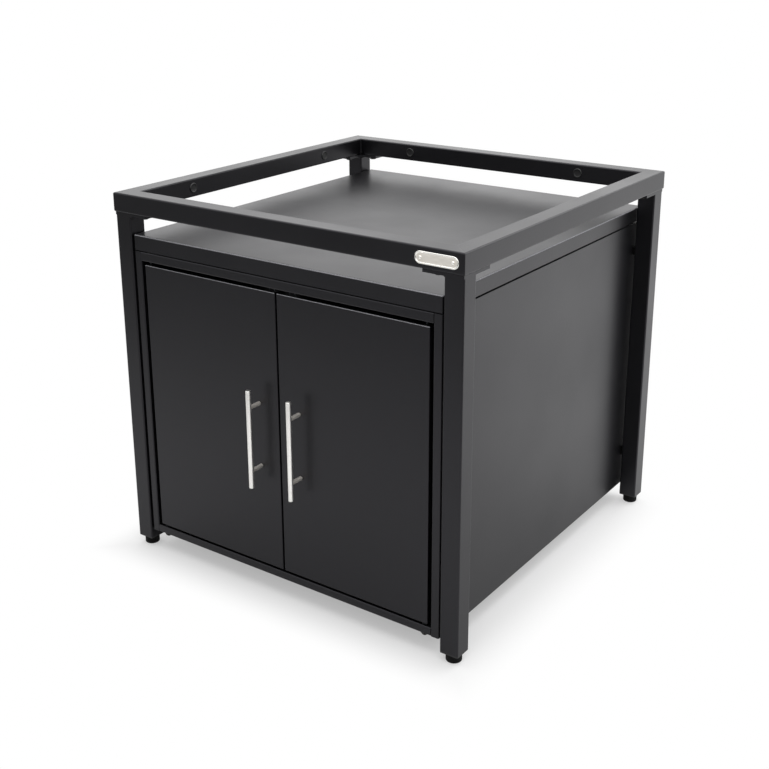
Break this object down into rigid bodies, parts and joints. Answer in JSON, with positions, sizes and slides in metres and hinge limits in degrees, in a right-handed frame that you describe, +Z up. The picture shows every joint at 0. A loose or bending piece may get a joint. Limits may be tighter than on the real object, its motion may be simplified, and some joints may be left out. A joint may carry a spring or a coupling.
{
  "type": "grill cart with storage",
  "caption": "Square steel tube stand on levelling feet, with an open ring top, a tray and a storage cabinet with hinged doors.",
  "frame": {"origin": "on the floor, under the middle of the whole box", "axes": "+Z up, the doors and their handles face -Y, +X to the right seen from the front"},
  "size_m": [0.8, 0.829, 0.76],
  "materials": {
    "black_powder_coat": "fine satin powder coat",
    "black_plastic": "moulded",
    "zinc_steel": "zinc plated",
    "black_steel": "black oxide",
    "nylon": "moulded",
    "stainless_steel": "brushed"
  },
  "bodies": {
    "frame": {"ring_rail_front": "black_powder_coat", "ring_rail_rear": "black_powder_coat", "ring_rail_left": "black_powder_coat", "ring_rail_right": "black_powder_coat", "corner_plates": "black_powder_coat", "leg_front_left": "black_powder_coat", "leg_front_right": "black_powder_coat", "leg_rear_left": "black_powder_coat", "leg_rear_right": "black_powder_coat", "side_panel_left": "black_powder_coat", "side_panel_right": "black_powder_coat", "top_panel": "black_powder_coat", "bottom_panel": "black_powder_coat", "back_panel": "black_powder_coat", "tray": "black_powder_coat", "tray_bearer_left": "black_powder_coat", "tray_bearer_right": "black_powder_coat", "shelf": "black_powder_coat", "shelf_angles": "black_powder_coat", "rail_hole_plugs": "black_plastic", "leg_inserts": "black_plastic", "catch_housings": "black_plastic", "cabinet_bolts": "zinc_steel", "lower_pivot_pins": "zinc_steel", "upper_pivot_pins": "zinc_steel", "catch_poles": "zinc_steel", "corner_bolts": "black_steel", "pivot_dome_nuts": "black_steel", "cabinet_spacers": "nylon", "oval_plate": "stainless_steel", "oval_plate_rivets": "stainless_steel"},
    "left_door": {"door_left": "black_powder_coat", "door_left_liner": "black_powder_coat", "door_left_bushes": "nylon", "door_left_strike": "zinc_steel", "handle_left_bar": "stainless_steel", "handle_left_posts": "stainless_steel", "handle_left_screws": "zinc_steel"},
    "right_door": {"door_right": "black_powder_coat", "door_right_liner": "black_powder_coat", "door_right_bushes": "nylon", "door_right_strike": "zinc_steel", "handle_right_bar": "stainless_steel", "handle_right_posts": "stainless_steel", "handle_right_screws": "zinc_steel"},
    "foot_front_left": {"levelling_pad_front_left": "black_plastic", "levelling_stem_front_left": "zinc_steel"},
    "foot_front_right": {"levelling_pad_front_right": "black_plastic", "levelling_stem_front_right": "zinc_steel"},
    "foot_rear_left": {"levelling_pad_rear_left": "black_plastic", "levelling_stem_rear_left": "zinc_steel"},
    "foot_rear_right": {"levelling_pad_rear_right": "black_plastic", "levelling_stem_rear_right": "zinc_steel"}
  },
  "joints": [
    {"name": "left_door_hinge", "type": "hinge", "parent": "frame", "child": "left_door", "pos_m": [-0.321, -0.37125, 0.342], "axis": [0, 0, -1], "range_deg": [0, 120]},
    {"name": "right_door_hinge", "type": "hinge", "parent": "frame", "child": "right_door", "pos_m": [0.321, -0.37125, 0.342], "axis": [0, 0, 1], "range_deg": [0, 120]},
    {"name": "foot_front_left_travel", "type": "slide", "parent": "frame", "child": "foot_front_left", "axis": [0, 0, -1], "range_m": [0, 0.015]},
    {"name": "foot_front_right_travel", "type": "slide", "parent": "frame", "child": "foot_front_right", "axis": [0, 0, -1], "range_m": [0, 0.015]},
    {"name": "foot_rear_left_travel", "type": "slide", "parent": "frame", "child": "foot_rear_left", "axis": [0, 0, -1], "range_m": [0, 0.015]},
    {"name": "foot_rear_right_travel", "type": "slide", "parent": "frame", "child": "foot_rear_right", "axis": [0, 0, -1], "range_m": [0, 0.015]}
  ]
}
